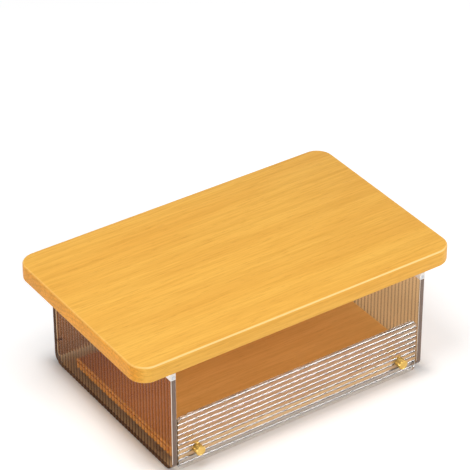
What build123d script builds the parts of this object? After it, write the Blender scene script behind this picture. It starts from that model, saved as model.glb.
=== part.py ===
from build123d import *
import os

os.makedirs("parts", exist_ok=True)

# Coffee machine stand: a wood top on two reeded acrylic sides, over a drawer with a wood base
# and a clear reeded front. Lengths are in millimetres. The table is at z = 0, +Z is up, and the
# drawer pulls out towards -Y. The origin is under the middle of the whole outline.

# Top board
top_width = 500.0
top_depth = 305.0
top_thickness = 25.0
top_corner_radius = 25.0
top_edge_round = 3.0
top_underside_z = 160.0

# Side panels: flat inside, upright reeds outside
side_overhang = 48.0
side_thickness = 8.0
side_reed_height = 0.5
side_reed_count = 40
side_front_corner_radius = 18.0
side_rear_corner_radius = 18.0
side_front_setback = 1.3
side_rear_setback = 7.0

# Non-slip pads under the side panels
pad_thickness = 1.0
pad_width = 6.0
pad_length = 24.0
pad_corner_gap = 6.0

# Mounting blocks in the notches at the top corners of the side panels
block_depth = 17.0
block_height = 10.0
block_edge_chamfer = 0.6
block_screw_radius = 1.5
block_screw_reach = 12.0
block_screw_rise = 3.4
block_head_radius = 2.6
block_head_height = 2.0
block_head_slot_width = 0.8
block_head_slot_depth = 0.7
block_bore_clearance = 0.2
block_dowel_radius = 2.0
block_dowel_depth = 4.0
top_dowel_depth = 12.0

# Back panel between the side panels
back_thickness = 6.0
back_rear_inset = 2.0
back_floor_gap = 12.0
back_pin_radius = 1.5
back_pin_depth = 5.0
back_pin_edge = 25.0

# Drawer front: clear, with level reeds outside
front_height = 82.5
front_floor_gap = 1.2
front_thickness = 6.0
front_reed_height = 1.7
front_reed_count = 10
front_edge_land = 0.5
front_corner_radius = 8.0
drawer_side_gap = 1.7

# Drawer base board, with a groove along each end for its runner
base_bottom_z = 17.5
base_thickness = 15.0
base_rear_gap = 42.7
base_edge_round = 1.0
groove_under_gap = 0.3
groove_side_gap = 0.5

# Runners, cemented to the side panels
runner_height = 6.0
runner_width = 6.0
runner_front_inset = 14.0

# Stops on the side panels and pegs under the base, which end the drawer's travel
stop_front_gap = 32.5
stop_margin = 0.5
stop_length = 12.0
stop_width = 18.0
stop_top_gap = 1.0
stop_height = 9.0
peg_radius = 3.0
peg_drop = 7.0
peg_socket = 8.0
peg_rear_inset = 12.0
peg_end_inset = 13.0

# Knobs, with the studs that hold the front to the base
knob_radius = 7.0
knob_reach = 10.3
knob_edge_chamfer = 0.8
knob_end_inset = 28.3
knob_height = 27.5
knob_washer_thickness = 0.6
knob_washer_radius = 6.0
knob_seat_clearance = 0.3
knob_seat_sink = 0.3
stud_radius = 2.0
stud_knob_depth = 6.0
stud_base_depth = 22.0

# How far a cut runs past what it cuts
overrun = 2.0

# Positions that follow from the sizes
knob_past_top = knob_reach - side_front_setback
top_mid_y = knob_past_top / 2
top_front_y = top_mid_y - top_depth / 2
top_rear_y = top_mid_y + top_depth / 2
side_front_y = top_front_y + side_front_setback
side_rear_y = top_rear_y - side_rear_setback
side_depth = side_rear_y - side_front_y
side_mid_y = (side_front_y + side_rear_y) / 2
side_outer_x = top_width / 2 - side_overhang
side_inner_x = side_outer_x - side_thickness
side_root_x = side_outer_x - side_reed_height
side_core_x = (side_inner_x + side_root_x) / 2
side_height = top_underside_z - pad_thickness
side_mid_z = pad_thickness + side_height / 2
side_reed_pitch = side_depth / side_reed_count
notch_z = top_underside_z - block_height
block_screw_z = notch_z + block_screw_rise
back_rear_y = side_rear_y - back_rear_inset
back_front_y = back_rear_y - back_thickness
back_mid_y = (back_front_y + back_rear_y) / 2
back_height = top_underside_z - back_floor_gap
drawer_half_width = side_inner_x - drawer_side_gap
front_back_y = side_front_y + front_thickness
front_root_y = side_front_y + front_reed_height
front_top_z = front_floor_gap + front_height
front_reed_low_z = front_floor_gap + front_edge_land
front_reed_high_z = front_top_z - front_edge_land
front_reed_pitch = (front_reed_high_z - front_reed_low_z) / front_reed_count
front_mid_z = front_floor_gap + front_height / 2
base_top_z = base_bottom_z + base_thickness
base_mid_z = base_bottom_z + base_thickness / 2
base_front_y = front_back_y
base_rear_y = back_front_y - base_rear_gap
base_depth = base_rear_y - base_front_y
base_mid_y = (base_front_y + base_rear_y) / 2
runner_bottom_z = base_mid_z - runner_height / 2
runner_top_z = base_mid_z + runner_height / 2
runner_front_y = base_front_y + runner_front_inset
runner_length = base_rear_y - runner_front_y
runner_inner_x = side_inner_x - runner_width
groove_floor_x = runner_inner_x - groove_side_gap
groove_bottom_z = runner_bottom_z - groove_under_gap
peg_x = drawer_half_width - peg_end_inset
peg_y = base_rear_y - peg_rear_inset
stop_rear_y = front_back_y + stop_front_gap + stop_length
drawer_travel = peg_y - peg_radius - stop_margin - stop_rear_y
print("The drawer's travel in mm:", round(drawer_travel, 1))
stop_top_z = base_bottom_z - stop_top_gap
knob_x = drawer_half_width - knob_end_inset
seat_floor_y = front_root_y + knob_seat_sink
knob_seat_y = seat_floor_y - knob_washer_thickness
knob_front_y = side_front_y - knob_reach


def back_pin_zs():
    return [back_floor_gap + back_pin_edge, top_underside_z - back_pin_edge]


# Top board: an extruded plan with eased upper and lower edges
with BuildPart() as tabletop:
    with BuildSketch(Plane.XY.offset(top_underside_z)):
        with Locations((0, top_mid_y)):
            RectangleRounded(top_width, top_depth, top_corner_radius)
    extrude(amount=top_thickness)
    rims = tabletop.faces().sort_by(Axis.Z)
    fillet(rims[0].edges() + rims[-1].edges(), top_edge_round)
    with BuildSketch(Plane.XY.offset(top_underside_z)):
        for side in (-1, 1):
            for y in (side_front_y + block_depth / 2, side_rear_y - block_depth / 2):
                with Locations((side * side_core_x, y)):
                    Circle(block_dowel_radius)
    extrude(amount=top_dowel_depth, mode=Mode.SUBTRACT)
tabletop.part.label = "tabletop"
export_step(tabletop.part, "parts/tabletop.step")


def side_panel(name, side):
    with BuildPart() as panel:
        # The plan, with one arc for each reed
        with BuildSketch(Plane.XY.offset(pad_thickness)):
            with BuildLine():
                Polyline(
                    (side * side_root_x, side_front_y),
                    (side * side_inner_x, side_front_y),
                    (side * side_inner_x, side_rear_y),
                    (side * side_root_x, side_rear_y),
                )
                for i in range(side_reed_count):
                    low = side_front_y + side_reed_pitch * i
                    mid = low + side_reed_pitch / 2
                    high = low + side_reed_pitch
                    ThreePointArc(
                        (side * side_root_x, low),
                        (side * side_outer_x, mid),
                        (side * side_root_x, high),
                    )
            make_face()
        extrude(amount=side_height)
        # The outline seen from the side: rounded lower corners, notched upper corners
        with BuildSketch(Plane.YZ) as outline:
            with Locations((side_mid_y, side_mid_z)):
                Rectangle(side_depth, side_height)
            lower = outline.vertices().sort_by(Axis.Y)[:2].sort_by(Axis.X)
            fillet(lower[0], side_front_corner_radius)
            fillet(lower[1], side_rear_corner_radius)
            for y in (side_front_y, side_rear_y):
                with Locations((y, top_underside_z)):
                    Rectangle(2 * block_depth, 2 * block_height, mode=Mode.SUBTRACT)
        extrude(amount=side_outer_x + overrun, both=True, mode=Mode.INTERSECT)
        # Screw holes behind the blocks
        for y, way in ((side_front_y + block_depth, -1), (side_rear_y - block_depth, 1)):
            with BuildSketch(Plane.XZ.offset(-y)):
                with Locations((side * side_core_x, block_screw_z)):
                    Circle(block_screw_radius)
            extrude(amount=way * block_screw_reach, mode=Mode.SUBTRACT)
        # Holes in the inner face for the back panel's pins
        with BuildSketch(Plane.YZ.offset(side * side_inner_x)):
            for z in back_pin_zs():
                with Locations((back_mid_y, z)):
                    Circle(back_pin_radius)
        extrude(amount=side * back_pin_depth, mode=Mode.SUBTRACT)
    panel.part.label = name
    export_step(panel.part, "parts/" + name + ".step")


side_panel("side_panel_left", -1)
side_panel("side_panel_right", 1)


def mounting_block(name, side, outer_y, inner_y):
    way = 1 if inner_y > outer_y else -1
    with BuildPart() as block:
        with BuildSketch(Plane.XY.offset(notch_z)):
            with Locations((side * (side_inner_x + side_outer_x) / 2, (outer_y + inner_y) / 2)):
                Rectangle(side_thickness, block_depth)
        extrude(amount=block_height)
        chamfer(block.edges().filter_by(Axis.Z), block_edge_chamfer)
        # Bore for the screw, with a recess for its head
        with BuildSketch(Plane.XZ.offset(-outer_y)):
            with Locations((side * side_core_x, block_screw_z)):
                Circle(block_screw_radius + block_bore_clearance)
        extrude(amount=-way * block_depth, mode=Mode.SUBTRACT)
        with BuildSketch(Plane.XZ.offset(-outer_y)):
            with Locations((side * side_core_x, block_screw_z)):
                Circle(block_head_radius + block_bore_clearance)
        extrude(amount=-way * block_head_height, mode=Mode.SUBTRACT)
        # Socket for the dowel
        with BuildSketch(Plane.XY.offset(top_underside_z - block_dowel_depth)):
            with Locations((side * side_core_x, (outer_y + inner_y) / 2)):
                Circle(block_dowel_radius)
        extrude(amount=block_dowel_depth, mode=Mode.SUBTRACT)
    block.part.label = name
    export_step(block.part, "parts/" + name + ".step")


mounting_block("mounting_block_front_left", -1, side_front_y, side_front_y + block_depth)
mounting_block("mounting_block_front_right", 1, side_front_y, side_front_y + block_depth)
mounting_block("mounting_block_rear_left", -1, side_rear_y, side_rear_y - block_depth)
mounting_block("mounting_block_rear_right", 1, side_rear_y, side_rear_y - block_depth)

# Block screws: head in the block's recess, shank through the block into the side panel
with BuildPart() as block_screws:
    for side in (-1, 1):
        for outer_y, way in ((side_front_y, 1), (side_rear_y, -1)):
            with BuildSketch(Plane.XZ.offset(-outer_y)):
                with Locations((side * side_core_x, block_screw_z)):
                    Circle(block_head_radius)
            extrude(amount=-way * block_head_height)
            with BuildSketch(Plane.XZ.offset(-outer_y)):
                with Locations((side * side_core_x, block_screw_z)):
                    Circle(block_screw_radius)
            extrude(amount=-way * (block_depth + block_screw_reach))
            with BuildSketch(Plane.XZ.offset(-outer_y)):
                with Locations((side * side_core_x, block_screw_z)):
                    Rectangle(2 * block_head_radius, block_head_slot_width)
            extrude(amount=-way * block_head_slot_depth, mode=Mode.SUBTRACT)
block_screws.part.label = "block_screws"
export_step(block_screws.part, "parts/block_screws.step")

# Block dowels: from each block up into the top
with BuildPart() as block_dowels:
    with BuildSketch(Plane.XY.offset(top_underside_z - block_dowel_depth)):
        for side in (-1, 1):
            for y in (side_front_y + block_depth / 2, side_rear_y - block_depth / 2):
                with Locations((side * side_core_x, y)):
                    Circle(block_dowel_radius)
    extrude(amount=block_dowel_depth + top_dowel_depth)
block_dowels.part.label = "block_dowels"
export_step(block_dowels.part, "parts/block_dowels.step")

# Back panel, pinned between the side panels
with BuildPart() as back_panel:
    with BuildSketch(Plane.XY.offset(back_floor_gap)):
        with Locations((0, back_mid_y)):
            Rectangle(2 * side_inner_x, back_thickness)
    extrude(amount=back_height)
    for side in (-1, 1):
        with BuildSketch(Plane.YZ.offset(side * side_inner_x)):
            for z in back_pin_zs():
                with Locations((back_mid_y, z)):
                    Circle(back_pin_radius)
        extrude(amount=-side * back_pin_depth, mode=Mode.SUBTRACT)
back_panel.part.label = "back_panel"
export_step(back_panel.part, "parts/back_panel.step")

with BuildPart() as back_pins:
    for side in (-1, 1):
        with BuildSketch(Plane.YZ.offset(side * side_inner_x)):
            for z in back_pin_zs():
                with Locations((back_mid_y, z)):
                    Circle(back_pin_radius)
        extrude(amount=back_pin_depth, both=True)
back_pins.part.label = "back_pins"
export_step(back_pins.part, "parts/back_pins.step")


def runner(name, side):
    with BuildPart() as bar:
        with BuildSketch(Plane.XY.offset(runner_bottom_z)):
            with Locations((side * (runner_inner_x + side_inner_x) / 2, runner_front_y + runner_length / 2)):
                Rectangle(runner_width, runner_length)
        extrude(amount=runner_height)
    bar.part.label = name
    export_step(bar.part, "parts/" + name + ".step")


runner("runner_left", -1)
runner("runner_right", 1)


def drawer_stop(name, side):
    with BuildPart() as stop:
        with BuildSketch(Plane.XY.offset(stop_top_z - stop_height)):
            with Locations((side * (side_inner_x - stop_width / 2), stop_rear_y - stop_length / 2)):
                Rectangle(stop_width, stop_length)
        extrude(amount=stop_height)
    stop.part.label = name
    export_step(stop.part, "parts/" + name + ".step")


drawer_stop("drawer_stop_left", -1)
drawer_stop("drawer_stop_right", 1)


def foot_pad(name, side, y):
    with BuildPart() as pad:
        with BuildSketch(Plane.XY):
            with Locations((side * side_core_x, y)):
                SlotOverall(pad_length, pad_width, rotation=90)
        extrude(amount=pad_thickness)
    pad.part.label = name
    export_step(pad.part, "parts/" + name + ".step")


pad_front_y = side_front_y + side_front_corner_radius + pad_corner_gap + pad_length / 2
pad_rear_y = side_rear_y - side_rear_corner_radius - pad_corner_gap - pad_length / 2
foot_pad("foot_pad_front_left", -1, pad_front_y)
foot_pad("foot_pad_front_right", 1, pad_front_y)
foot_pad("foot_pad_rear_left", -1, pad_rear_y)
foot_pad("foot_pad_rear_right", 1, pad_rear_y)

# Drawer base: a board with a stopped groove along each end, open at the rear
with BuildPart() as drawer_base:
    with BuildSketch(Plane.XY.offset(base_bottom_z)):
        with Locations((0, base_mid_y)):
            Rectangle(2 * drawer_half_width, base_depth)
    extrude(amount=base_thickness)
    fillet(drawer_base.faces().sort_by(Axis.Z)[-1].edges().sort_by(Axis.Y)[1:], base_edge_round)
    for side in (-1, 1):
        with BuildSketch(Plane.XY.offset(groove_bottom_z)):
            groove_width = drawer_half_width - groove_floor_x + overrun
            groove_length = base_rear_y - runner_front_y + overrun
            with Locations((side * (groove_floor_x + groove_width / 2), runner_front_y + groove_length / 2)):
                Rectangle(groove_width, groove_length)
        extrude(amount=runner_top_z - groove_bottom_z, mode=Mode.SUBTRACT)
        # Sockets for a stud in the front edge and a stop peg underneath
        with BuildSketch(Plane.XZ.offset(-base_front_y)):
            with Locations((side * knob_x, knob_height)):
                Circle(stud_radius)
        extrude(amount=-stud_base_depth, mode=Mode.SUBTRACT)
        with BuildSketch(Plane.XY.offset(base_bottom_z)):
            with Locations((side * peg_x, peg_y)):
                Circle(peg_radius)
        extrude(amount=peg_socket, mode=Mode.SUBTRACT)
drawer_base.part.label = "drawer_base"
export_step(drawer_base.part, "parts/drawer_base.step")

# Stop pegs under the rear of the drawer base
with BuildPart() as stop_pegs:
    with BuildSketch(Plane.XY.offset(base_bottom_z - peg_drop)):
        for side in (-1, 1):
            with Locations((side * peg_x, peg_y)):
                Circle(peg_radius)
    extrude(amount=peg_drop + peg_socket)
stop_pegs.part.label = "stop_pegs"
export_step(stop_pegs.part, "parts/stop_pegs.step")

# Drawer front: a rounded plate, with the reeds cut along its outer face
with BuildPart() as drawer_front:
    with BuildSketch(Plane.XZ.offset(-front_back_y)):
        with Locations((0, front_mid_z)):
            RectangleRounded(2 * drawer_half_width, front_height, front_corner_radius)
    extrude(amount=front_thickness + overrun)
    with BuildSketch(Plane.YZ):
        with BuildLine():
            Polyline(
                (front_root_y, front_reed_low_z),
                (front_root_y, front_floor_gap - overrun),
                (side_front_y - 2 * overrun, front_floor_gap - overrun),
                (side_front_y - 2 * overrun, front_top_z + overrun),
                (front_root_y, front_top_z + overrun),
                (front_root_y, front_reed_high_z),
            )
            for i in range(front_reed_count):
                low = front_reed_low_z + front_reed_pitch * i
                mid = low + front_reed_pitch / 2
                high = low + front_reed_pitch
                ThreePointArc((front_root_y, low), (side_front_y, mid), (front_root_y, high))
        make_face()
    extrude(amount=drawer_half_width + overrun, both=True, mode=Mode.SUBTRACT)
    # Flat seats and bores for the knobs
    for side in (-1, 1):
        with BuildSketch(Plane.XZ.offset(-seat_floor_y)):
            with Locations((side * knob_x, knob_height)):
                Circle(knob_radius + knob_seat_clearance)
        extrude(amount=knob_seat_sink + front_reed_height + overrun, mode=Mode.SUBTRACT)
        with BuildSketch(Plane.XZ.offset(-front_back_y)):
            with Locations((side * knob_x, knob_height)):
                Circle(stud_radius)
        extrude(amount=front_thickness, mode=Mode.SUBTRACT)
drawer_front.part.label = "drawer_front"
export_step(drawer_front.part, "parts/drawer_front.step")

# Knob washers, between each knob and its seat
with BuildPart() as knob_washers:
    with BuildSketch(Plane.XZ.offset(-seat_floor_y)):
        for side in (-1, 1):
            with Locations((side * knob_x, knob_height)):
                Circle(knob_washer_radius)
                Circle(stud_radius, mode=Mode.SUBTRACT)
    extrude(amount=knob_washer_thickness)
knob_washers.part.label = "knob_washers"
export_step(knob_washers.part, "parts/knob_washers.step")


def knob(name, side):
    with BuildPart() as body:
        with BuildSketch(Plane.XZ.offset(-knob_seat_y)):
            with Locations((side * knob_x, knob_height)):
                Circle(knob_radius)
        extrude(amount=knob_seat_y - knob_front_y)
        chamfer(body.faces().sort_by(Axis.Y)[0].edges(), knob_edge_chamfer)
        with BuildSketch(Plane.XZ.offset(-knob_seat_y)):
            with Locations((side * knob_x, knob_height)):
                Circle(stud_radius)
        extrude(amount=stud_knob_depth, mode=Mode.SUBTRACT)
    body.part.label = name
    export_step(body.part, "parts/" + name + ".step")


knob("knob_left", -1)
knob("knob_right", 1)

# Knob studs: from each knob through the front into the base
with BuildPart() as knob_studs:
    with BuildSketch(Plane.XZ.offset(-knob_seat_y)):
        for side in (-1, 1):
            with Locations((side * knob_x, knob_height)):
                Circle(stud_radius)
    extrude(amount=stud_knob_depth)
    with BuildSketch(Plane.XZ.offset(-knob_seat_y)):
        for side in (-1, 1):
            with Locations((side * knob_x, knob_height)):
                Circle(stud_radius)
    extrude(amount=-(base_front_y - knob_seat_y + stud_base_depth))
knob_studs.part.label = "knob_studs"
export_step(knob_studs.part, "parts/knob_studs.step")
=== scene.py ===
# %% [markdown]
# # A low stand with a drawer
#
# A rounded wood board stands on two upright acrylic sides. Between them runs a shallow drawer: a
# wood base board with a clear front that two brass knobs hold on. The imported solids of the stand
# are loaded as a fixed frame, in metres, and this file gives each of them its surface. Where the
# solid is too coarse for glass or for a close look, a finer mesh takes its place.

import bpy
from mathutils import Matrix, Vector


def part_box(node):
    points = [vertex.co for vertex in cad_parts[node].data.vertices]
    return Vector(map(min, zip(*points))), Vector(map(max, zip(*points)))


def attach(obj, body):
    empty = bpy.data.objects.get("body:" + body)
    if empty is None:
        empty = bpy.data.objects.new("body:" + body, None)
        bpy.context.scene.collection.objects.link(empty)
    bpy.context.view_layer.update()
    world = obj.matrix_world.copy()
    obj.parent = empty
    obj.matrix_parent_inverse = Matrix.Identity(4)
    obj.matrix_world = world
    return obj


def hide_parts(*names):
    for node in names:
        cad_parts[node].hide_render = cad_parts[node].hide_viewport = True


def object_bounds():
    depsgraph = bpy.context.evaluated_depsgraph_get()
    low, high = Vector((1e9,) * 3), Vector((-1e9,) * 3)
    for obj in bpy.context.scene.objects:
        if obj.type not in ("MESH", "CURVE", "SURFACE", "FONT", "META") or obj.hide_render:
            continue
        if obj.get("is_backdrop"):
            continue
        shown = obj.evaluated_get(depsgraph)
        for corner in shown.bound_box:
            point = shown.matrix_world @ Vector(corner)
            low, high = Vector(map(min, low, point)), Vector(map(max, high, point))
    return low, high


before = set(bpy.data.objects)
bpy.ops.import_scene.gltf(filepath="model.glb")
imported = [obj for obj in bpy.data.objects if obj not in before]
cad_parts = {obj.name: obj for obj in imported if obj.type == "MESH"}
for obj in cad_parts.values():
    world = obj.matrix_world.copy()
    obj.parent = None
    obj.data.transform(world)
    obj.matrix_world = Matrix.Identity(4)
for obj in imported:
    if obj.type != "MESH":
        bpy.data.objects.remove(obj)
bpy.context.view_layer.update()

# %% Modules
import math

import bmesh
import bpy
from mathutils import Matrix, Vector

MM = 0.001
scene = bpy.context.scene
scene.view_settings.view_transform = "Standard"
print("view:", scene.view_settings.view_transform)

# %% [markdown]
# ## Camera
#
# The stand is seen from high on its left front corner, through a long lens, so its edges stay
# nearly parallel. A camera can be aimed by a constraint or by angles. Angles are used here,
# because they were found by laying the edges of the board over the picture.

# %% Camera
camera_place = Vector((-1.5301, -2.2542, 2.0398))
camera_yaw = math.radians(34.09)
camera_down = math.radians(33.82)
camera_roll = math.radians(0.14)
camera_lens = 190.0
camera_sight = 50.0

camera_data = bpy.data.cameras.new("camera")
camera_data.lens = camera_lens
camera_data.clip_end = camera_sight
camera = bpy.data.objects.new("camera", camera_data)
scene.collection.objects.link(camera)
turn = Matrix.Rotation(-camera_yaw, 4, "Z")
tilt = Matrix.Rotation(math.pi / 2 - camera_down, 4, "X")
roll = Matrix.Rotation(-camera_roll, 4, "Z")
camera.matrix_world = Matrix.Translation(camera_place) @ turn @ tilt @ roll
scene.camera = camera
print("camera to the middle of the stand:", round(camera_place.length, 3), "m")

# %% [markdown]
# ## Nodes
#
# Every finish below is a small tree of nodes. Trees can be drawn by hand in the shader editor. In
# a script a few helpers keep them short: a socket takes either a plain value or the socket of
# another node, and a node is added and filled in one line.


# %% Nodes
def feed(tree, socket, value):
    """Gives a socket a plain value, or links it to the socket that feeds it."""
    if isinstance(value, bpy.types.NodeSocket):
        tree.links.new(value, socket)
    else:
        socket.default_value = value


def fill(tree, node, **sockets):
    """Feeds the sockets of a node by their names."""
    for name, value in sockets.items():
        feed(tree, node.inputs[name.replace("_", " ")], value)
    return node


def put(tree, kind, **sockets):
    """A new shader node with its sockets filled."""
    return fill(tree, tree.nodes.new("ShaderNode" + kind), **sockets)


def reckon(tree, operation, first, second=0.0):
    """One sum on two sockets or numbers."""
    node = tree.nodes.new("ShaderNodeMath")
    node.operation = operation
    feed(tree, node.inputs[0], first)
    feed(tree, node.inputs[1], second)
    return node.outputs[0]


print("helpers for nodes:", feed.__name__, fill.__name__, put.__name__, reckon.__name__)

# %% [markdown]
# ## Sky
#
# The stand is pictured on pure white. A bright sky alone would also wash out the shading of the
# board. So the sky is white only to the camera, to mirrors and through glass, and dimmer as a
# light. The kind of ray that asks decides between the two.

# %% Sky
sky_light = 0.25
white = (1, 1, 1, 1)


def seen_directly(tree):
    """One for rays from the camera, off a mirror or through glass, and nought for the rest."""
    path = tree.nodes.new("ShaderNodeLightPath")
    seen = path.outputs["Is Camera Ray"]
    for name in ("Is Glossy Ray", "Is Transmission Ray"):
        seen = reckon(tree, "MAXIMUM", seen, path.outputs[name])
    return seen


world = bpy.data.worlds.new("white_sky")
scene.world = world
world.use_nodes = True
sky = world.node_tree
sky.nodes.clear()
dim = put(sky, "Background", Color=white, Strength=sky_light)
bright = put(sky, "Background", Color=white, Strength=1.0)
both = put(sky, "MixShader", Fac=seen_directly(sky))
sky.links.new(dim.outputs[0], both.inputs[1])
sky.links.new(bright.outputs[0], both.inputs[2])
put(sky, "OutputWorld", Surface=both.outputs[0])
print("sky as a light:", sky_light)

# %% [markdown]
# ## Floor
#
# The floor is a pale matt sheet, a single face with faint clouds in its paint. The lamps don't
# reach far, so away from the stand it would turn grey. There it adds a little light of its own,
# for the same rays as the sky. This glow is painted light that starts a few millimetres from the
# feet of the stand and grows outward, so it also lightens the soft shadow beside the stand. Under
# the stand it adds none.


# %% Helpers for a finish
def new_finish(name):
    """A node material, its tree and its Principled shader."""
    finish = bpy.data.materials.new(name)
    finish.use_nodes = True
    return finish, finish.node_tree, finish.node_tree.nodes["Principled BSDF"]


def place_in_stand(tree, scale):
    """The place of a point in the stand, in metres, stretched by scale on each axis."""
    place = tree.nodes.new("ShaderNodeTexCoord").outputs["Object"]
    return put(tree, "Mapping", Vector=place, Scale=scale).outputs["Vector"]


def noise(tree, grain, detail):
    """A grey noise that changes about grain times in a metre on each axis."""
    place = place_in_stand(tree, grain)
    return put(tree, "TexNoise", Vector=place, Scale=1.0, Detail=detail).outputs["Fac"]


print("helpers for a finish:", new_finish.__name__, place_in_stand.__name__, noise.__name__)

# %% Helpers for colour
# Most of a noise lies between these two greys.
noise_span = (0.3, 0.7)


def ramp(tree, source, *stops):
    """A colour ramp over source, with (place, colour) stops. A plain number makes a grey."""
    node = tree.nodes.new("ShaderNodeValToRGB")
    tree.links.new(source, node.inputs["Fac"])
    while len(node.color_ramp.elements) < len(stops):
        node.color_ramp.elements.new(1.0)
    for element, (place, colour) in zip(node.color_ramp.elements, stops):
        element.position = place
        element.color = (colour,) * 3 + (1,) if isinstance(colour, float) else (*colour, 1)
    return node.outputs["Color"]


def mottle(tree, source, first, second, span=noise_span):
    """A ramp from a first colour, or number, to a second over a span of the source."""
    return ramp(tree, source, (span[0], first), (span[1], second))


def shade_of(tone, share):
    """A tone made darker."""
    return tuple(part * share for part in tone)


print("helpers for colour:", ramp.__name__, mottle.__name__, shade_of.__name__)

# %% Gap to the stand
side_low, side_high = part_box("side_panel_right")


def gap_to_stand(tree):
    """How far a point of the floor lies outside the feet of the stand, in metres."""
    foot_corner = (side_high.x, side_high.y, 0)
    gap = place_in_stand(tree, (1, 1, 1))
    for operation, second in (("ABSOLUTE", None), ("SUBTRACT", foot_corner),
                              ("MAXIMUM", (0, 0, 0)), ("LENGTH", None)):
        step = tree.nodes.new("ShaderNodeVectorMath")
        step.operation = operation
        tree.links.new(gap, step.inputs[0])
        if second:
            step.inputs[1].default_value = second
        gap = step.outputs["Value" if operation == "LENGTH" else "Vector"]
    return gap


print("feet of the stand reach out to:", round(side_high.x, 3), round(side_high.y, 3), "m")

# %% Floor finish
floor_paint = (0.93, 0.93, 0.93)
floor_cloud_shade = 0.985
floor_cloud_grain = (3, 3, 3)
glow_reach = 4.0
# Gaps to the stand, in metres, and how strongly the floor shines there
# The glow near the feet is painted light that lightens the shadow beside the stand
glow_steps = ((0.0, 0.0), (0.008, 0.20), (0.03, 0.35), (0.80, 0.50), (2.80, 0.75))

floor_finish, tree, floor_shader = new_finish("pale_floor")
tree.nodes.remove(floor_shader)
clouds = noise(tree, floor_cloud_grain, detail=3.0)
paint = mottle(tree, clouds, floor_paint, shade_of(floor_paint, floor_cloud_shade))
matt = put(tree, "BsdfDiffuse", Color=paint)
reach_share = reckon(tree, "DIVIDE", gap_to_stand(tree), glow_reach)
far_glow = ramp(tree, reach_share, *((gap / glow_reach, shine) for gap, shine in glow_steps))
glow_strength = reckon(tree, "MULTIPLY", seen_directly(tree), far_glow)
glow = put(tree, "Emission", Color=white, Strength=glow_strength)
lit = put(tree, "AddShader")
tree.links.new(matt.outputs[0], lit.inputs[0])
tree.links.new(glow.outputs[0], lit.inputs[1])
tree.links.new(lit.outputs[0], tree.nodes["Material Output"].inputs["Surface"])
print("finish:", floor_finish.name)

# %% Floor
floor_half = 6.0
floor_corners = [(x * floor_half, y * floor_half, 0)
                 for x, y in ((-1, -1), (1, -1), (1, 1), (-1, 1))]
floor_mesh = bpy.data.meshes.new("floor")
floor_mesh.from_pydata(floor_corners, [], [(0, 1, 2, 3)])
floor_mesh.materials.append(floor_finish)
floor = bpy.data.objects.new("floor", floor_mesh)
scene.collection.objects.link(floor)
floor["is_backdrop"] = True
print("floor:", 2 * floor_half, "m square")

# %% [markdown]
# ## Lamps
#
# Three soft lamps, each a glowing rectangle as in a photographer's studio. One hangs over the left
# half of the board and gives it its tone. A strip in front is mirrored by the level reeds and by
# the eased edge of the board as thin bright lines. The third is a long strip at the left, lower
# than the board: it shines in under the board, onto the end of the drawer base, and can't glare
# on the board's face.

# %% Lamps
lamp_aim = Vector((-0.05, 0, 0.12))
# The place, the width and height, and the watts of each lamp
lamps = {
    "lamp_over_left": ((-0.34, 0.0, 1.30), (0.7, 0.8), 9.6),
    "lamp_strip_front": ((0.98, -1.54, 1.12), (1.3, 0.60), 21.5),
    "lamp_strip_left": ((-2.0, -0.4, 0.10), (1.6, 0.16), 17.0),
}
for name, (place, size, watts) in lamps.items():
    lamp_data = bpy.data.lights.new(name, "AREA")
    lamp_data.shape = "RECTANGLE"
    lamp_data.size, lamp_data.size_y = size
    lamp_data.energy = watts
    lamp = bpy.data.objects.new(name, lamp_data)
    lamp.location = place
    lamp.rotation_mode = "QUATERNION"
    lamp.rotation_quaternion = (lamp_aim - Vector(place)).to_track_quat("-Z", "Y")
    scene.collection.objects.link(lamp)
print("lamps:", sorted(lamps))

# %% [markdown]
# ## Oak
#
# The board and the drawer base are honey coloured oak under satin lacquer. An image of wood would
# have to be unwrapped, and would not run round an edge. Here the colour is worked out in space,
# as in a real log: faint rings round a far axis make the lines of the grain, a slow noise shifts
# the tone, and noises drawn out along the board make the fine streaks and the short pores. The
# sawn ends of the board drink more lacquer, so they are deeper. The ends of the drawer base are
# painted paler than its faces, as painted light, and the upper eased edges of the board carry a
# painted highlight, a pale line where the lacquer would mirror a lamp.


# %% Helpers for mixing and bump
def tint_by(tree, share, first, second):
    """Two colours, or sockets that give them, mixed by share."""
    node = tree.nodes.new("ShaderNodeMix")
    node.data_type = "RGBA"
    tree.links.new(share, node.inputs[0])
    for socket, value in ((node.inputs[6], first), (node.inputs[7], second)):
        feed(tree, socket, value if isinstance(value, bpy.types.NodeSocket) else (*value, 1))
    return node.outputs[2]


def bump_of(tree, height, strength, depth):
    """A bump of that depth, in metres, from a grey height."""
    return put(tree, "Bump", Height=height, Strength=strength, Distance=depth).outputs["Normal"]


print("helpers for mixing and bump:", tint_by.__name__, bump_of.__name__)

# %% Rings of the log
# A log is long, so its rings change ten times more slowly along the board than across it.
ring_stretch = (0.10, 1, 1)
ring_shape = {"Scale": 46.0, "Distortion": 5.0, "Detail": 2.5, "Detail_Scale": 0.7,
              "Detail_Roughness": 0.6}
ring_stops = ((0.45, 0.0), (1.0, 0.28))


def log_rings(tree, log_axis):
    """How dark the rings of a log are, whose axis runs along X at (y, z)."""
    axis_y, axis_z = log_axis
    place = tree.nodes.new("ShaderNodeTexCoord").outputs["Object"]
    log = put(tree, "Mapping", Vector=place, Location=(0, -axis_y, -axis_z), Scale=ring_stretch)
    rings = put(tree, "TexWave", Vector=log.outputs["Vector"], **ring_shape)
    rings.wave_type = "RINGS"
    rings.rings_direction = "X"
    return ramp(tree, rings.outputs["Fac"], *ring_stops)


print("rings: scale", ring_shape["Scale"], "and they waver by", ring_shape["Distortion"])

# %% Tones on faces and ends
# How far a face has turned towards the end of the board, and how strongly the end's tones show
end_stops = ((0.5, 0.0), (0.9, 1.0))
end_warm_shade, end_dark_shade = 0.80, 0.52
# A grain gives the changes in a metre along, across and through the board.
drift_grain, drift_span = (2.5, 16, 16), (0.34, 0.68)


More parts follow.
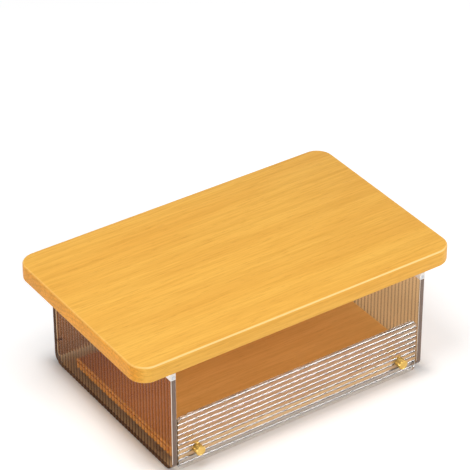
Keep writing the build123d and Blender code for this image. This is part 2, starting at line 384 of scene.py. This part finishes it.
def ground_tones(tree, along, light, warm, dark, end_grain_and_light_tone):
    """The drifting tone of the wood and the tone of its dark grain, on faces and on the ends. The
    end tone is deeper end grain on the board and painted light on the drawer base.
    """
    on_end = ramp(tree, along, *end_stops)
    drift = noise(tree, drift_grain, detail=3.0)
    face_drift = mottle(tree, drift, light, warm, drift_span)
    end_drift = mottle(tree, drift, end_grain_and_light_tone, shade_of(end_grain_and_light_tone, end_warm_shade), drift_span)
    ground = tint_by(tree, on_end, face_drift, end_drift)
    dark_grain = tint_by(tree, on_end, dark, shade_of(end_grain_and_light_tone, end_dark_shade))
    return ground, dark_grain


print("the tone drifts in a metre:", drift_grain)

# %% Painted highlight on the eased edges
# Where the painted highlight lies: how far an edge's round has turned up, then how far to the end
highlight_stops = ((0.25, 0.0), (0.45, 0.8), (0.85, 0.8), (0.97, 0.0))
highlight_off_ends = ((0.2, 1.0), (0.6, 0.25))


def painted_highlight_share(tree, up, along):
    """How strong the painted highlight is on the round of an upper edge, faint on the board's ends.
    """
    risen = ramp(tree, up, *highlight_stops)
    return reckon(tree, "MULTIPLY", risen, ramp(tree, along, *highlight_off_ends))


print("eased edges are palest from", highlight_stops[1][0], "to", highlight_stops[2][0], "of a turn up")

# %% Oak finish
streak_grain, streak_stops = (14, 420, 420), ((0.42, 0.0), (0.70, 0.55))
pore_grain, pore_stops = (60, 1100, 1100), ((0.58, 0.0), (0.74, 0.50))
pore_bump, pore_depth = 0.10, 0.2 * MM
lacquer_sheen, lacquer_span = (0.42, 0.55), (0.3, 0.75)
lacquer_gloss, lacquer_coat, lacquer_coat_sheen = 0.22, 0.06, 0.15


def oak_finish(name, tones, log_axis, end_grain_and_light_tone, painted_highlight_tone=None):
    """Lacquered oak whose grain runs along X. tones run from the palest wood to the pores."""
    finish, tree, lacquer = new_finish(name)
    light, warm, dark, pore = tones
    facing = put(tree, "SeparateXYZ", Vector=tree.nodes.new("ShaderNodeTexCoord").outputs["Normal"])
    along = reckon(tree, "ABSOLUTE", facing.outputs["X"])
    colour, dark_grain = ground_tones(tree, along, light, warm, dark, end_grain_and_light_tone)
    colour = tint_by(tree, log_rings(tree, log_axis), colour, dark_grain)
    streaks = noise(tree, streak_grain, detail=3.0)
    colour = tint_by(tree, ramp(tree, streaks, *streak_stops), colour, dark_grain)
    pores = noise(tree, pore_grain, detail=2.0)
    colour = tint_by(tree, ramp(tree, pores, *pore_stops), colour, pore)
    # A painted highlight along the upper eased edges, where the lacquer would mirror a lamp
    if painted_highlight_tone:
        colour = tint_by(tree, painted_highlight_share(tree, facing.outputs["Z"], along), colour, painted_highlight_tone)
    fill(tree, lacquer, Base_Color=colour,
         Roughness=mottle(tree, streaks, *lacquer_sheen, lacquer_span),
         Normal=bump_of(tree, pores, pore_bump, pore_depth), Specular_IOR_Level=lacquer_gloss,
         Coat_Weight=lacquer_coat, Coat_Roughness=lacquer_coat_sheen)
    return finish


print("streaks and pores in a metre:", streak_grain, pore_grain)

# %% The two oaks
board_tones = ((0.89, 0.49, 0.080), (0.83, 0.415, 0.058),
               (0.70, 0.325, 0.040), (0.55, 0.230, 0.026))
board_end_tone = (0.83, 0.340, 0.020)
# The colour of the painted highlight on the board's upper eased edges
board_highlight_tone = (1.0, 0.68, 0.27)
board_log = (-0.05, -0.16)
base_tones = ((0.90, 0.52, 0.17), (0.85, 0.46, 0.135),
              (0.74, 0.38, 0.10), (0.58, 0.28, 0.07))
# The ends of the drawer base are painted paler than its faces: painted light where little lamp
# light reaches them
base_end_painted_light_tone = (0.98, 0.56, 0.13)
base_log = (0.03, -0.22)
top_oak = oak_finish("oak_top", board_tones, board_log, board_end_tone, board_highlight_tone)
base_oak = oak_finish("oak_base", base_tones, base_log, base_end_painted_light_tone)
print("finishes:", top_oak.name, base_oak.name)

# %% [markdown]
# ## Making a piece
#
# A piece is a mesh in the place it has on the stand. It rides on a body of the frame and stands for
# one or more of its solids. Faces are shaded smooth, except where two of them meet at more than the
# given angle.

# %% Clean mesh
weld_reach = 0.002 * MM


def clean_mesh(name, points, faces):
    """A mesh with its doubled points joined and all its faces turned outward."""
    mesh = bpy.data.meshes.new(name)
    mesh.from_pydata(points, [], faces)
    clean = bmesh.new()
    clean.from_mesh(mesh)
    bmesh.ops.remove_doubles(clean, verts=clean.verts, dist=weld_reach)
    bmesh.ops.recalc_face_normals(clean, faces=clean.faces)
    clean.to_mesh(mesh)
    clean.free()
    return mesh


print("points are joined within", weld_reach / MM, "mm")

# %% Making a piece
# How far a face has turned away from the flat of its sheet where an edge's round starts and ends
edge_turns = (0.45, 0.92)
soft_crease = 35.0


def make_piece(name, points, faces, finishes, body, solids, crease=soft_crease):
    """A new piece that stands for solids of the frame. An upright sheet has three finishes: for
    its faces, for the rounds of its edges and for the edges."""
    mesh = clean_mesh(name, points, faces)
    mesh.shade_smooth()
    mesh.set_sharp_from_angle(angle=math.radians(crease))
    for finish in finishes:
        mesh.materials.append(finish)
    if len(finishes) > 1:
        for face in mesh.polygons:
            face.material_index = sum(face.normal.yz.length > turn for turn in edge_turns)
    piece = bpy.data.objects.new(name, mesh)
    scene.collection.objects.link(piece)
    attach(piece, body)
    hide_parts(*solids)
    print(name, "faces:", len(mesh.polygons))
    return piece


print("faces are smooth up to", soft_crease, "degrees")

# %% [markdown]
# ## Board
#
# The top is one thick board. Its corners are round in plan, and its upper and lower edges are
# eased with a small round, which catches a bright line of light. A cube with two bevels would do.
# Rings of points give the same shape with the radii under control: each ring is the plan outline,
# drawn in by as much as the eased edge asks.

# %% Rings of the board
top_corner_radius = 25 * MM
top_edge_round = 3 * MM
corner_steps = 20
edge_steps = 6
top_low, top_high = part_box("tabletop")


def arc(radius, steps):
    """How far a quarter round stands back and how far it has risen, from its start to its end."""
    turns = [math.pi / 2 * i / steps for i in range(steps + 1)]
    return [(radius * (1 - math.sin(a)), radius * (1 - math.cos(a))) for a in turns]


def plan_ring(inset, z):
    """The outline of the board in plan, drawn in by inset, at a height."""
    ring = []
    radius = top_corner_radius - inset
    for quarter, (x_way, y_way) in enumerate(((1, 1), (-1, 1), (-1, -1), (1, -1))):
        mid_x = (top_high.x if x_way > 0 else top_low.x) - x_way * top_corner_radius
        mid_y = (top_high.y if y_way > 0 else top_low.y) - y_way * top_corner_radius
        for i in range(corner_steps + 1):
            a = math.pi / 2 * (quarter + i / corner_steps)
            ring.append((mid_x + radius * math.cos(a), mid_y + radius * math.sin(a), z))
    return ring


lower = [(inset, top_low.z + rise) for inset, rise in arc(top_edge_round, edge_steps)]
upper = [(inset, top_high.z - rise) for inset, rise in reversed(arc(top_edge_round, edge_steps))]
rings = [plan_ring(inset, z) for inset, z in lower + upper]
print("rings of the board:", len(rings), "points in each:", len(rings[0]))


# %% Board
def ring_faces(ring_count, count):
    """Faces between rings of count points each, with a lid on the first and on the last."""
    last = (ring_count - 1) * count
    faces = [tuple(reversed(range(count))), tuple(range(last, last + count))]
    for start in range(0, last, count):
        for i in range(count):
            j = (i + 1) % count
            faces.append((start + i, start + j, start + count + j, start + count + i))
    return faces


board_points = [point for ring in rings for point in ring]
board_faces = ring_faces(len(rings), len(rings[0]))
make_piece("board", board_points, board_faces, [top_oak], "stand", ["tabletop"])

# %% [markdown]
# ## Acrylic
#
# The sides are brown tinted acrylic, and the drawer front is clear. Both are polished, and bend
# light as glass does. In a reeded sheet the valleys between the reeds look dark, because they
# bend the light aside. Very many samples would show that. Here that dark is painted shade: the
# tint of the valleys is deepened, drawn from the pitch of the reeds. The painted shade deepens
# towards the floor, where little light comes from behind.

# %% Painted shade in the valleys between reeds
# Where the painted shade of a valley is deepest, across a reed from its crest at nought to its edge
# at a half
valley_floor = 0.46


def valley_painted_shade(tree, reeds):
    """How dark the painted shade in a valley between two reeds is, from nought on a reed's crest,
    deeper towards the floor. Only the skin that lies further out than the middle of the sheet has
    reeds."""
    place = tree.nodes.new("ShaderNodeTexCoord").outputs["Object"]
    parts = put(tree, "SeparateXYZ", Vector=place)
    along = reckon(tree, "SUBTRACT", parts.outputs[reeds["along"]], reeds["start"])
    across = reckon(tree, "FRACT", reckon(tree, "DIVIDE", along, reeds["pitch"]))
    from_crest = reckon(tree, "ABSOLUTE", reckon(tree, "SUBTRACT", across, 0.5))
    valley = ramp(tree, from_crest, (reeds["from"], 0.0), (valley_floor, 1.0))
    valley = reckon(tree, "MULTIPLY", valley, ramp(tree, parts.outputs["Z"], *reeds["fade"]))
    out = reckon(tree, "ABSOLUTE", parts.outputs[reeds["through"]])
    outer_skin = reckon(tree, "GREATER_THAN", out, reeds["middle"])
    return reckon(tree, "MULTIPLY", valley, outer_skin)


print("a valley is deepest at", valley_floor, "of a reed from its crest")

# %% Rows of reeds
# "from" is where the painted shade of a valley starts across a reed, "shade" how dark it gets, and
# "fade" how strong that painted shade is at a height in metres, strongest near the floor.
side_reeds = 40
brown_reeds = {
    "along": "Y",
    "start": side_low.y,
    "pitch": (side_high.y - side_low.y) / side_reeds,
    "through": "X",
    "middle": (side_low.x + side_high.x) / 2,
    "from": 0.20,
    "shade": 0.13,
    "fade": ((0.015, 1.0), (0.045, 0.75)),
}
front_reeds = 10
front_edge_land = 0.5 * MM
front_low, front_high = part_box("drawer_front")
clear_reeds = {
    "along": "Z",
    "start": front_low.z + front_edge_land,
    "pitch": (front_high.z - front_low.z - 2 * front_edge_land) / front_reeds,
    "through": "Y",
    "middle": -(front_low.y + front_high.y) / 2,
    "from": 0.32,
    "shade": 0.22,
    "fade": ((0.012, 1.0), (0.030, 0.65), (0.045, 0.35)),
}
for reeds in (brown_reeds, clear_reeds):
    print("reeds along", reeds["along"], "pitch:", round(reeds["pitch"] / MM, 3), "mm")

# %% [markdown]
# A lamp can't find its way through a bending surface in a few samples. So for shadows, and for
# light scattered inside the drawer, the sheet is a plain tinted film, which lets rays straight
# through. Every other ray meets the bending sheet. Its tint drifts a little, and faint wipe marks
# change the gloss.


# %% Film for lamp light
def let_lamps_through(tree, sheet, film):
    """Puts a tinted film in the place of the sheet for shadows and for scattered light."""
    path = tree.nodes.new("ShaderNodeLightPath").outputs
    straight = reckon(tree, "MAXIMUM", path["Is Shadow Ray"], path["Is Diffuse Ray"])
    see_through = put(tree, "BsdfTransparent", Color=(*film, 1))
    either = put(tree, "MixShader", Fac=straight)
    tree.links.new(sheet.outputs[0], either.inputs[1])
    tree.links.new(see_through.outputs[0], either.inputs[2])
    tree.links.new(either.outputs[0], tree.nodes["Material Output"].inputs["Surface"])


print("helper for acrylic:", let_lamps_through.__name__)

# %% Acrylic finish
acrylic_gloss, acrylic_wiped = 0.01, 0.05
tint_grain, tint_span, tint_shade = (6, 6, 6), (0.35, 0.65), 0.94
wipe_grain, wipe_span = (30, 30, 90), (0.4, 0.75)
hard_coat_ior = 1.7


def acrylic_finish(name, tint, film, ior, reeds=None, hard_coat=0.0):
    """Polished acrylic. tint is its colour through a sheet, film that of lamp light at each face.
    A hard coat mirrors the lamps more strongly."""
    finish, tree, sheet = new_finish(name)
    clouds = noise(tree, tint_grain, detail=2.0)
    colour = mottle(tree, clouds, tint, shade_of(tint, tint_shade), tint_span)
    # Painted shade in the valleys between the reeds, deeper towards the floor
    if reeds:
        valley_shade_tint = shade_of(tint, reeds["shade"])
        colour = tint_by(tree, valley_painted_shade(tree, reeds), colour, valley_shade_tint)
    wipes = noise(tree, wipe_grain, detail=4.0)
    fill(tree, sheet, Base_Color=colour, Transmission_Weight=1.0, IOR=ior,
         Roughness=mottle(tree, wipes, acrylic_gloss, acrylic_wiped, wipe_span),
         Coat_Weight=hard_coat, Coat_Roughness=acrylic_gloss, Coat_IOR=hard_coat_ior)
    let_lamps_through(tree, sheet, film)
    return finish


print("acrylic roughness:", acrylic_gloss, "wiped:", acrylic_wiped)

# %% [markdown]
# Real acrylic has an index of 1.49. Over a white floor that lays a pale mirror image on the brown
# sheets, and they look milky. A lower index keeps them deep. The clear front has the real one and
# a hard coat besides, because its bright mirrored lines are what the eye sees of it.

# %% The acrylic sheets
real_ior, deep_ior, faint_ior = 1.49, 1.12, 1.08
front_hard_coat = 0.65
brown_acrylic = acrylic_finish(
    "acrylic_brown", (0.645, 0.405, 0.20), (0.985, 0.97, 0.945), deep_ior, brown_reeds)
pin_acrylic = acrylic_finish(
    "acrylic_brown_pin", (0.62, 0.40, 0.235), (0.97, 0.94, 0.90), deep_ior)
back_acrylic = acrylic_finish(
    "acrylic_brown_back", (0.38, 0.21, 0.11), (0.55, 0.40, 0.29), deep_ior)
clear_acrylic = acrylic_finish(
    "acrylic_clear", (0.96, 0.95, 0.93), (0.95, 0.945, 0.935), real_ior, clear_reeds,
    front_hard_coat)
washer_acrylic = acrylic_finish(
    "acrylic_clear_washer", (0.94, 0.925, 0.90), (0.87, 0.86, 0.845), real_ior)
stop_acrylic = acrylic_finish(
    "acrylic_clear_stop", (0.90, 0.86, 0.80), (0.95, 0.93, 0.90), faint_ior)
print("acrylic finishes:", [m.name for m in bpy.data.materials if m.name.startswith("acrylic")])

# %% [markdown]
# ## Cut edges of the brown sheet
#
# A sheet of tinted acrylic is darkest at its cut edges, where light has run a long way inside it,
# and the small round beside each edge shows as a pale line of mirrored light. Glass would find both
# by itself with enough bounces. A satin, nearly solid finish gives the same look at once: a deep
# tint on the edges, and a painted highlight on their rounds.

# %% Cut edges of the brown sheet
saw_grain = (900, 900, 40)
saw_sheen = (0.12, 0.30)
saw_bump, saw_depth = 0.1, 0.05 * MM
edge_glow_through = 0.2


def sawn_finish(name, pale, deep):
    """The satin cut edge of a sheet."""
    finish, tree, edge = new_finish(name)
    saw = noise(tree, saw_grain, detail=3.0)
    fill(tree, edge, Base_Color=mottle(tree, saw, pale, deep),
         Roughness=mottle(tree, saw, *saw_sheen), Normal=bump_of(tree, saw, saw_bump, saw_depth),
         Transmission_Weight=edge_glow_through)
    return finish


# The rounds of the cut edges are painted pale: a painted highlight
brown_arris_highlight = sawn_finish("acrylic_brown_arris", (0.97, 0.87, 0.76), (0.90, 0.79, 0.67))
brown_edge = sawn_finish("acrylic_brown_edge", (0.22, 0.145, 0.105), (0.15, 0.095, 0.07))
print("edge finishes:", brown_arris_highlight.name, brown_edge.name)

# %% [markdown]
# ## Side panels
#
# Each side is flat inside and has forty upright reeds outside. Its lower corners are round, and
# its upper corners are notched for the mounting blocks. An array of half rods would leave seams
# that show in glass, so the panel is one closed skin. It is cut into columns across its depth.
# Each column knows how low and how high the panel is there, and how far its reed stands out. A
# hair's breadth is left where another piece touches, since two faces in one place confuse glass.

# %% Reeds and rounds
reed_steps = 12
round_steps = 12


def reed_rise(along, pitch, height):
    """How far a reed stands out at a place along the row of reeds."""
    radius = (pitch * pitch / 4 + height * height) / (2 * height)
    across = along % pitch - pitch / 2
    return math.sqrt(radius * radius - across * across) - (radius - height)


def eased(gap, radius):
    """How far an edge rounded by radius stands back, at a gap from its end."""
    reach = max(0.0, radius - gap)
    return radius - math.sqrt(max(0.0, radius * radius - reach * reach))


def round_places(low, high, *radii):
    """Places along a side that follow the rounds at both of its ends."""
    rises = [rise for _, rise in arc(1.0, round_steps)]
    starts = {low + radius * rise for radius in radii for rise in rises}
    return starts | {high - radius * rise for radius in radii for rise in rises}


print("points across a reed:", reed_steps, "and round a corner:", round_steps)

# %% Notches of a side panel
fit_gap = 0.05 * MM
block_low, block_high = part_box("mounting_block_front_left")
notch_depth = block_high.y - block_low.y + fit_gap
notch_z = block_low.z - fit_gap
print("notches:", round(notch_depth / MM, 2), "mm deep from", round(notch_z, 4), "m up")

# %% Columns of a side panel
side_corner = 18 * MM
side_edge_round = 1.0 * MM
notch_clearance = 0.02 * MM
least_column = 0.01 * MM


def column_places(low, high, notches):
    """Where a panel is cut into columns from front to rear, with both ends of the notches."""
    pitch = (high.y - low.y) / side_reeds
    places = {low.y + pitch * i / reed_steps for i in range(side_reeds * reed_steps + 1)}
    places |= round_places(low.y, high.y, side_corner, side_edge_round)
    clear = [p for p in places if min(abs(p - notch) for notch in notches) > notch_clearance]
    apart = []
    for place in sorted(clear + list(notches)):
        if not apart or place - apart[-1] > least_column or place in notches:
            apart.append(place)
    return apart


def column_heights(y, low, high, notches):
    """The heights at which a column has points: its bottom, its top, and a notch's floor."""
    bottom = low.z + eased(y - low.y, side_corner) + eased(high.y - y, side_corner)
    if y in notches:
        return [bottom, notch_z, high.z]
    return [bottom, high.z if notches[0] < y < notches[1] else notch_z]


print("corners of a side:", side_corner / MM, "mm, edges:", side_edge_round / MM, "mm")

# %% Points of a side panel
side_reed_height = 0.5 * MM
# Keeps the last column on the last reed
hair = 1e-9


def side_points(low, high, side, notches):
    """The points of a panel, and for each column its place and its points by height."""
    inner, outer = (low.x, high.x) if side > 0 else (high.x, low.x)
    inner += side * fit_gap
    root = outer - side * side_reed_height
    depth = high.y - low.y
    points, columns = [], []
    for y in column_places(low, high, notches):
        ease = eased(y - low.y, side_edge_round) + eased(high.y - y, side_edge_round)
        along = min(max(y - low.y, 0.0), depth - hair)
        rise = reed_rise(along, depth / side_reeds, side_reed_height)
        column = {}
        for z in column_heights(y, low, high, notches):
            column[z] = (len(points), len(points) + 1)
            points += [(inner + side * ease, y, z), (root + side * (rise - ease), y, z)]
        columns.append((y, column))
    return points, columns


print("reeds of a side stand out", side_reed_height / MM, "mm")


# %% Side panels
def side_faces(columns, top_z, notches):
    """The faces of a panel: two skins, a bottom and a top between each two columns, then the
    walls of the notches and the front and rear edge."""
    faces = []
    for (y0, first), (y1, second) in zip(columns, columns[1:]):
        top = top_z if notches[0] <= y0 and y1 <= notches[1] else notch_z
        near = [first[z] for z in first if z <= top]
        far = [second[z] for z in second if z <= top]
        for skin in (0, 1):
            faces.append([p[skin] for p in near] + [p[skin] for p in reversed(far)])
        for p, q in ((near[0], far[0]), (near[-1], far[-1])):
            faces.append([p[0], p[1], q[1], q[0]])
    walls = [(column[notch_z], column[top_z]) for y, column in columns if y in notches]
    edges = [list(column.values()) for _, column in (columns[0], columns[-1])]
    walls += [(edge[0], edge[-1]) for edge in edges]
    return faces + [[p[0], p[1], q[1], q[0]] for p, q in walls]


for side, hand in ((-1, "left"), (1, "right")):
    low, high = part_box("side_panel_" + hand)
    low.z += fit_gap
    high.z -= fit_gap
    notches = (low.y + notch_depth, high.y - notch_depth)
    points, columns = side_points(low, high, side, notches)
    make_piece("reeded_side_" + hand, points, side_faces(columns, high.z, notches),
               [brown_acrylic, brown_arris_highlight, brown_edge], "stand",
               ["side_panel_" + hand])

# %% [markdown]
# ## Drawer front
#
# The front is a clear plate with ten level reeds outside and round corners. It is made like the
# sides, in rows from its lower edge to its upper edge: each row knows how wide the plate is there
# and how far the reed stands out. Two flat seats and two bores for the knobs are then cut by a
# boolean, which is exact and needs no care with the rows.

# %% Drawer front
front_reed_height = 1.7 * MM
front_corner = 8 * MM
front_edge_round = 0.5 * MM
front_back = front_high.y - fit_gap
front_root = front_low.y + front_reed_height
front_pitch = clear_reeds["pitch"]


def front_row(z):
    """The four points of the plate at a height: left and right, at its back and its face."""
    from_low, from_high = z - front_low.z, front_high.z - z
    inset = eased(from_low, front_corner) + eased(from_high, front_corner)
    ease = eased(from_low, front_edge_round) + eased(from_high, front_edge_round)
    along = from_low - front_edge_land
    on_reeds = 0 < along < front_pitch * front_reeds
    out = reed_rise(along, front_pitch, front_reed_height) if on_reeds else 0.0
    left, right = front_low.x + inset, front_high.x - inset
    face, back = front_root - out + ease, front_back - ease
    return [(left, back, z), (left, face, z), (right, face, z), (right, back, z)]


rows = {clear_reeds["start"] + front_pitch * i / reed_steps
        for i in range(front_reeds * reed_steps + 1)}
rows |= round_places(front_low.z, front_high.z, front_corner, front_edge_round)
front_points = [point for z in sorted(rows) for point in front_row(z)]
drawer_front = make_piece("reeded_front", front_points, ring_faces(len(rows), 4), [clear_acrylic],
                          "drawer", ["drawer_front"])

# %% Turned shapes
turned_steps = 64


def turned(profile, mid_x, mid_z):
    """Points and faces of a closed shape turned round an axis along Y, from (radius, y) pairs."""
    points = []
    for radius, y in profile:
        for i in range(turned_steps):
            a = 2 * math.pi * i / turned_steps
            points.append((mid_x + radius * math.cos(a), y, mid_z + radius * math.sin(a)))
    return points, ring_faces(len(profile), turned_steps)


print("points round a turned shape:", turned_steps)


# %% Cutting
def cut_turned(piece, profile, mid_x, mid_z):
    """Cuts a turned shape out of a piece."""
    cutter = bpy.data.objects.new("cutter", clean_mesh("cutter", *turned(profile, mid_x, mid_z)))
    scene.collection.objects.link(cutter)
    cut = piece.modifiers.new("cut", "BOOLEAN")
    cut.operation = "DIFFERENCE"
    cut.solver = "EXACT"
    cut.object = cutter
    bpy.context.view_layer.update()
    shaped = piece.evaluated_get(bpy.context.evaluated_depsgraph_get())
    whole, piece.data = piece.data, bpy.data.meshes.new_from_object(shaped)
    piece.modifiers.remove(cut)
    bpy.data.meshes.remove(whole)
    bpy.data.objects.remove(cutter)
    piece.data.name = piece.name


print("helper for cutting:", cut_turned.__name__)

# %% Knob seats in the drawer front
knob_low, knob_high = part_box("knob_left")
stud_low, stud_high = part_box("knob_studs")
_, washer_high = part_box("knob_washers")
knob_mid = (knob_low + knob_high) / 2
knob_x = abs(knob_mid.x)
knob_radius = (knob_high.x - knob_low.x) / 2
stud_radius = (stud_high.z - stud_low.z) / 2
seat_clearance = 0.3 * MM
cut_overrun = 2 * MM
seat_radius = knob_radius + seat_clearance
bore_radius = stud_radius + fit_gap
cut_start = front_low.y - cut_overrun
seat = [(seat_radius, cut_start), (seat_radius, washer_high.y + fit_gap)]
bore = [(bore_radius, cut_start), (bore_radius, front_high.y + cut_overrun)]
for side in (-1, 1):
    for profile in (seat, bore):
        cut_turned(drawer_front, profile, side * knob_x, knob_mid.z)
drawer_front.data.set_sharp_from_angle(angle=math.radians(soft_crease))
print("drawer front faces:", len(drawer_front.data.polygons))

# %% [markdown]
# ## Brass knobs
#
# The knobs are short turned bars of brass with a broken front edge and a shallow dish in the face.
# Brass takes its colour from what it mirrors, so the shader is plain metal. The tool leaves fine
# rings round the axis. They are drawn from the distance to that axis, which is the same on both
# knobs once left is folded onto right.

# %% Tool marks
tool_mark_scale = 9000.0


def tool_marks(tree):
    """Fine rings round the axes of both knobs."""
    place = tree.nodes.new("ShaderNodeTexCoord").outputs["Object"]
    parts = put(tree, "SeparateXYZ", Vector=place)
    folded_x = reckon(tree, "ABSOLUTE", parts.outputs["X"])
    flat = put(tree, "CombineXYZ", X=folded_x, Z=parts.outputs["Z"])
    from_axis = tree.nodes.new("ShaderNodeVectorMath")
    from_axis.operation = "DISTANCE"
    tree.links.new(flat.outputs[0], from_axis.inputs[0])
    from_axis.inputs[1].default_value = (knob_x, 0, knob_mid.z)
    marks = tree.nodes.new("ShaderNodeTexNoise")
    marks.noise_dimensions = "1D"
    fill(tree, marks, W=from_axis.outputs["Value"], Scale=tool_mark_scale, Detail=2.0)
    return marks.outputs["Fac"]


print("axes of the knobs:", round(knob_x, 4), "m out and", round(knob_mid.z, 4), "m up")

# %% Brass finish
brass_pale = (0.74, 0.50, 0.15)
brass_deep = (0.62, 0.39, 0.09)
brass_age_grain, brass_age_span = (90, 90, 90), (0.35, 0.7)
tool_mark_sheen = (0.20, 0.32)
tool_mark_bump, tool_mark_depth = 0.15, 0.05 * MM
brass, tree, metal = new_finish("brass_turned")
marks = tool_marks(tree)
age = noise(tree, brass_age_grain, detail=3.0)
fill(tree, metal, Base_Color=mottle(tree, age, brass_pale, brass_deep, brass_age_span),
     Roughness=mottle(tree, marks, *tool_mark_sheen), Metallic=1.0,
     Normal=bump_of(tree, marks, tool_mark_bump, tool_mark_depth))
print("finish:", brass.name)

# %% Knobs
knob_chamfer = 0.8 * MM
knob_chamfer_bulge = 0.3 * knob_chamfer
knob_back_break = 0.3 * MM
knob_rim = 1.5 * MM
knob_dish = 0.3 * MM
knob_dish_shares = (0.5, 0.1)
knob_crease = 25.0
knob_profile = [
    (stud_radius, knob_high.y),
    (knob_radius - knob_back_break, knob_high.y),
    (knob_radius, knob_high.y - knob_back_break),
    (knob_radius, knob_low.y + knob_chamfer),
    (knob_radius - knob_chamfer_bulge, knob_low.y + knob_chamfer_bulge),
    (knob_radius - knob_chamfer, knob_low.y),
    (knob_radius - knob_rim, knob_low.y),
    (knob_radius - knob_rim - knob_dish, knob_low.y + knob_dish),
]
knob_profile += [(knob_radius * share, knob_low.y + knob_dish) for share in knob_dish_shares]
for side, hand in ((-1, "left"), (1, "right")):
    points, faces = turned(knob_profile, side * knob_x, knob_mid.z)
    make_piece("turned_knob_" + hand, points, faces, [brass], "drawer",
               ["knob_" + hand], knob_crease)

# %% [markdown]
# ## Runners and stops
#
# The drawer slides on two oak strips that are glued to the sides, and two small acrylic bars end
# its travel. Such bars are sawn, and a maker takes the sharpness off their edges with sandpaper.
# Their solids are plain bars, so each gets a mesh of its own with a bevel modifier, which rounds
# all twelve edges alike.

# %% Runners and stops
bar_ease = 0.5 * MM
bar_ease_steps = 3


def eased_bar(name, solid, finish):
    """A straight bar in the place of a solid, with all its edges eased."""
    low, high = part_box(solid)
    plan = ((low.x, low.y), (high.x, low.y), (high.x, high.y), (low.x, high.y))
    points = [(x, y, z) for z in (low.z, high.z) for x, y in plan]
    bar = make_piece(name, points, ring_faces(2, len(plan)), [finish], "stand", [solid])
    bar.data.shade_flat()
    ease = bar.modifiers.new("eased_edges", "BEVEL")
    ease.width = bar_ease
    ease.segments = bar_ease_steps


for hand in ("left", "right"):
    eased_bar("oak_runner_" + hand, "runner_" + hand, base_oak)
    eased_bar("stop_bar_" + hand, "drawer_stop_" + hand, stop_acrylic)

# %% [markdown]
# ## Small parts
#
# The mounting blocks are moulded nylon, the screws and studs are zinc plated steel, the pads are
# soft silicone and the dowels and pegs are plain beech. Finer meshes could take their places too.
# Their solids have the right shape, though, so they stay as they are, and each only gets its
# finish. In each finish one fine noise drives colour and gloss together, as real grain does.

# %% Moulded and plain finishes
skin_rough_spread = 0.12
skin_bump, skin_depth = 0.1, 0.05 * MM


def moulded_finish(name, pale, deep, rough, grain):
    """A plain material with a fine grain on its surface."""
    finish, tree, skin = new_finish(name)
    speck = noise(tree, (grain, grain, grain), detail=3.0)
    fill(tree, skin, Base_Color=mottle(tree, speck, pale, deep),
         Roughness=mottle(tree, speck, rough, rough + skin_rough_spread),
         Normal=bump_of(tree, speck, skin_bump, skin_depth))
    return finish


white_nylon = moulded_finish("nylon_white", (0.82, 0.80, 0.77), (0.76, 0.74, 0.70), 0.38, 700)
silicone = moulded_finish("silicone_pad", (0.55, 0.55, 0.53), (0.48, 0.48, 0.46), 0.55, 500)
beech = moulded_finish("beech_dowel", (0.62, 0.42, 0.23), (0.52, 0.33, 0.17), 0.6, 900)
print("finishes:", white_nylon.name, silicone.name, beech.name)

# %% Zinc plated steel
zinc_pale = (0.60, 0.60, 0.62)
zinc_deep = (0.46, 0.46, 0.48)
zinc_brush_grain = (2500, 200, 2500)
zinc_sheen = (0.25, 0.42)
zinc_steel, tree, plating = new_finish("steel_zinc")
brush = noise(tree, zinc_brush_grain, detail=2.0)
fill(tree, plating, Base_Color=mottle(tree, brush, zinc_pale, zinc_deep),
     Roughness=mottle(tree, brush, *zinc_sheen), Metallic=1.0)
print("finish:", zinc_steel.name)

# %% Finishes onto the frame's own solids
own_finish = {
    "drawer_base": base_oak,
    "back_panel": back_acrylic,
    "back_pins": pin_acrylic,
    "knob_washers": washer_acrylic,
    "knob_studs": zinc_steel,
    "block_screws": zinc_steel,
    "block_dowels": beech,
    "stop_pegs": beech,
}
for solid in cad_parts:
    if solid.startswith("mounting_block"):
        own_finish[solid] = white_nylon
    if solid.startswith("foot_pad"):
        own_finish[solid] = silicone
for solid, finish in own_finish.items():
    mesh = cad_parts[solid].data
    mesh.materials.clear()
    mesh.materials.append(finish)
print("solids with a finish of their own:", len(own_finish))

# %% [markdown]
# ## Size
#
# The box that the finished stand fills is measured. The finished stand has to stay inside the box
# of the imported solids.

# %% Size
low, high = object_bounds()
